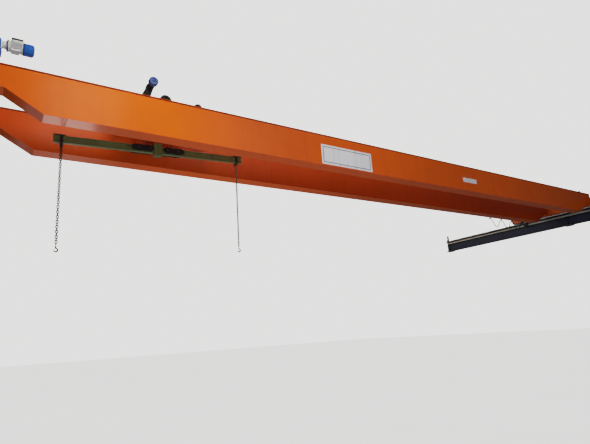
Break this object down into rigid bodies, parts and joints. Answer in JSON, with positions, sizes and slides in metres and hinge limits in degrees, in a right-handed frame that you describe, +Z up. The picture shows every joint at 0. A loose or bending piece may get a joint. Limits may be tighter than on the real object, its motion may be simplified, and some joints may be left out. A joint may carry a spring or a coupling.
{
  "type": "double girder overhead travelling crane",
  "caption": "Overhead travelling crane: box girders on runway beams, a rope hoist crab on top, and a lifting beam with sling chains between the girders.",
  "frame": {"origin": "middle of the underside of the left runway beam's middle bearing plate", "axes": "+X along the span from the left runway to the right, +Y along the runway away from the drives' side, +Z up"},
  "size_m": [20.3, 12, 3.3126],
  "materials": {
    "runway_paint": "satin",
    "rail_steel": "worn",
    "conductor_shell": "matte",
    "bracket_black": "matte",
    "girder_paint": "satin",
    "crab_paint": "satin",
    "wheel_steel": "worn",
    "buffer_rubber": "matte",
    "drive_blue": "satin",
    "motor_grey": "satin",
    "motor_black": "satin",
    "board_white": "gloss",
    "cable_rubber": "matte",
    "drum_steel": "greasy",
    "rope_wire": "greasy",
    "beam_green": "satin",
    "chain_steel": "worn",
    "hook_steel": "worn"
  },
  "bodies": {
    "runway": {"bearing_plates": "runway_paint", "runway_beams": "runway_paint", "runway_rails": "rail_steel", "runway_stops": "runway_paint", "conductor_bar": "conductor_shell", "conductor_brackets": "bracket_black"},
    "bridge": {"top_flanges": "girder_paint", "bottom_flanges": "girder_paint", "near_outer_web": "girder_paint", "near_inner_web": "girder_paint", "far_outer_web": "girder_paint", "far_inner_web": "girder_paint", "girder_end_plates": "girder_paint", "crab_rails": "rail_steel", "crab_rail_stops": "girder_paint", "end_carriages": "girder_paint", "bridge_buffers": "buffer_rubber", "travel_gearboxes": "drive_blue", "travel_motors": "motor_grey", "travel_motor_cowls": "drive_blue", "name_boards": "board_white", "collector": "bracket_black", "collector_cable": "cable_rubber", "cable_clips": "bracket_black"},
    "near_bridge_wheels": {"near_bridge_wheels": "wheel_steel"},
    "far_bridge_wheels": {"far_bridge_wheels": "wheel_steel"},
    "crab": {"crab_frame": "crab_paint", "crab_gearbox": "motor_black", "crab_motor": "motor_black", "crab_motor_cowl": "drive_blue", "hoist_gearbox": "motor_black", "hoist_motor": "motor_black", "upper_sheaves": "drum_steel", "hoist_ropes": "rope_wire"},
    "left_crab_wheels": {"left_crab_wheels": "wheel_steel"},
    "right_crab_wheels": {"right_crab_wheels": "wheel_steel"},
    "rope_drums": {"rope_drums": "drum_steel"},
    "lifting_beam": {"lifting_beam": "beam_green", "sheave_cheeks": "motor_black", "lower_sheaves": "drum_steel", "chain_hangers": "bracket_black"},
    "left_sling": {"left_chain": "chain_steel", "left_hook": "hook_steel"},
    "right_sling": {"right_chain": "chain_steel", "right_hook": "hook_steel"}
  },
  "joints": [
    {"name": "bridge_travel", "type": "slide", "parent": "runway", "child": "bridge", "axis": [0, 1, 0], "range_m": [-3.45, 3.45]},
    {"name": "crab_travel", "type": "slide", "parent": "bridge", "child": "crab", "axis": [1, 0, 0], "range_m": [-0.75, 14]},
    {"name": "hoist", "type": "slide", "parent": "crab", "child": "lifting_beam", "axis": [0, 0, 1], "range_m": [-3, 0.4], "deforming": ["hoist_ropes"]},
    {"name": "left_sling_swing", "type": "hinge", "parent": "lifting_beam", "child": "left_sling", "pos_m": [1.4048, 0, 0.1832], "axis": [0, 1, 0], "range_deg": [-12, 12]},
    {"name": "right_sling_swing", "type": "hinge", "parent": "lifting_beam", "child": "right_sling", "pos_m": [5.0648, 0, 0.343], "axis": [0, 1, 0], "range_deg": [-12, 12]},
    {"name": "near_bridge_wheels_roll", "type": "hinge", "parent": "bridge", "child": "near_bridge_wheels", "pos_m": [0, -1.95, 0.6753], "axis": [1, 0, 0], "continuous": true},
    {"name": "far_bridge_wheels_roll", "type": "hinge", "parent": "bridge", "child": "far_bridge_wheels", "pos_m": [0, 1.95, 0.6753], "axis": [1, 0, 0], "continuous": true},
    {"name": "left_crab_wheels_roll", "type": "hinge", "parent": "crab", "child": "left_crab_wheels", "pos_m": [2.767, 0, 1.1603], "axis": [0, 1, 0], "continuous": true},
    {"name": "right_crab_wheels_roll", "type": "hinge", "parent": "crab", "child": "right_crab_wheels", "pos_m": [3.847, 0, 1.1603], "axis": [0, 1, 0], "continuous": true},
    {"name": "rope_drums_turn", "type": "hinge", "parent": "crab", "child": "rope_drums", "pos_m": [3.23, 0, 1.25], "axis": [1, 0, 0], "continuous": true}
  ],
  "couplings": [
    {"joint": "near_bridge_wheels_roll", "follows": "bridge_travel", "rad_per_m": -8},
    {"joint": "far_bridge_wheels_roll", "follows": "bridge_travel", "rad_per_m": -8},
    {"joint": "left_crab_wheels_roll", "follows": "crab_travel", "rad_per_m": 12.5},
    {"joint": "right_crab_wheels_roll", "follows": "crab_travel", "rad_per_m": 12.5},
    {"joint": "rope_drums_turn", "follows": "hoist", "rad_per_m": -42.42}
  ]
}
